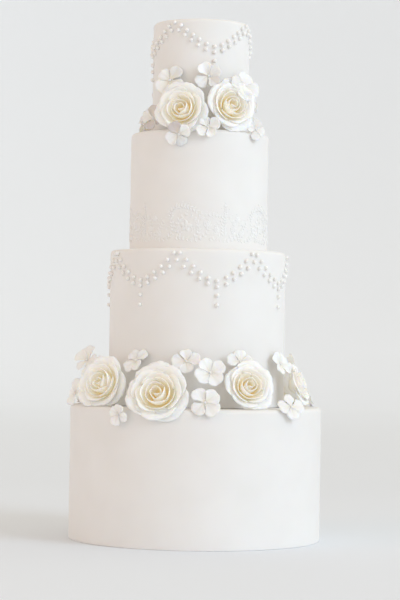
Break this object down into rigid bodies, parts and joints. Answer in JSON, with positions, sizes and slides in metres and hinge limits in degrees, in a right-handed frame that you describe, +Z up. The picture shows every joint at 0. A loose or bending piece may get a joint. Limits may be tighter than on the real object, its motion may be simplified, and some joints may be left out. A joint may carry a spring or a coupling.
{
  "type": "tiered wedding cake",
  "caption": "Tall round wedding cake of stacked white tiers, with wreaths of sugar roses and blossoms and a raised lace band, to stand on a table.",
  "frame": {"origin": "middle of the flat face that the cake stands on", "axes": "+Z up along the axis of the tiers, -Y towards the front of the cake, +X to the right of the front view"},
  "size_m": [0.3385, 0.3443, 0.6799],
  "materials": {
    "tier_icing": "smooth satin white sugar paste",
    "lace_icing": "raised white sugar lace",
    "rose_paste": "thin matt ivory-white sugar petals",
    "blossom_paste": "thin matt white sugar petals",
    "pearl_icing": "glossy white sugar pearls"
  },
  "bodies": {
    "root": {"tier_base": "tier_icing", "tier_lower": "tier_icing", "tier_upper": "tier_icing", "tier_top": "tier_icing", "lace_band": "lace_icing", "rose_wreath_1": "rose_paste", "rose_wreath_2": "rose_paste", "rose_wreath_3": "rose_paste", "rose_wreath_4": "rose_paste", "rose_wreath_5": "rose_paste", "rose_wreath_6": "rose_paste", "rose_wreath_7": "rose_paste", "rose_wreath_8": "rose_paste", "blossom_wreath_1": "blossom_paste", "blossom_wreath_2": "blossom_paste", "blossom_wreath_3": "blossom_paste", "blossom_wreath_4": "blossom_paste", "blossom_wreath_5": "blossom_paste", "blossom_wreath_6": "blossom_paste", "blossom_wreath_7": "blossom_paste", "blossom_wreath_8": "blossom_paste", "blossom_wreath_9": "blossom_paste", "blossom_wreath_10": "blossom_paste", "blossom_wreath_11": "blossom_paste", "blossom_wreath_12": "blossom_paste", "blossom_wreath_13": "blossom_paste", "blossom_wreath_14": "blossom_paste", "blossom_wreath_15": "blossom_paste", "blossom_wreath_16": "blossom_paste", "blossom_wreath_17": "blossom_paste", "blossom_wreath_18": "blossom_paste", "blossom_wreath_19": "blossom_paste", "blossom_wreath_20": "blossom_paste", "blossom_wreath_21": "blossom_paste", "rose_crown_1": "rose_paste", "rose_crown_2": "rose_paste", "rose_crown_3": "rose_paste", "rose_crown_4": "rose_paste", "blossom_crown_1": "blossom_paste", "blossom_crown_2": "blossom_paste", "blossom_crown_3": "blossom_paste", "blossom_crown_4": "blossom_paste", "blossom_crown_5": "blossom_paste", "blossom_crown_6": "blossom_paste", "blossom_crown_7": "blossom_paste", "blossom_crown_8": "blossom_paste", "blossom_crown_9": "blossom_paste", "blossom_crown_10": "blossom_paste", "blossom_crown_11": "blossom_paste", "blossom_crown_12": "blossom_paste", "blossom_crown_13": "blossom_paste", "blossom_crown_14": "blossom_paste", "blossom_crown_15": "blossom_paste", "blossom_crown_16": "blossom_paste"}
  },
  "joints": []
}
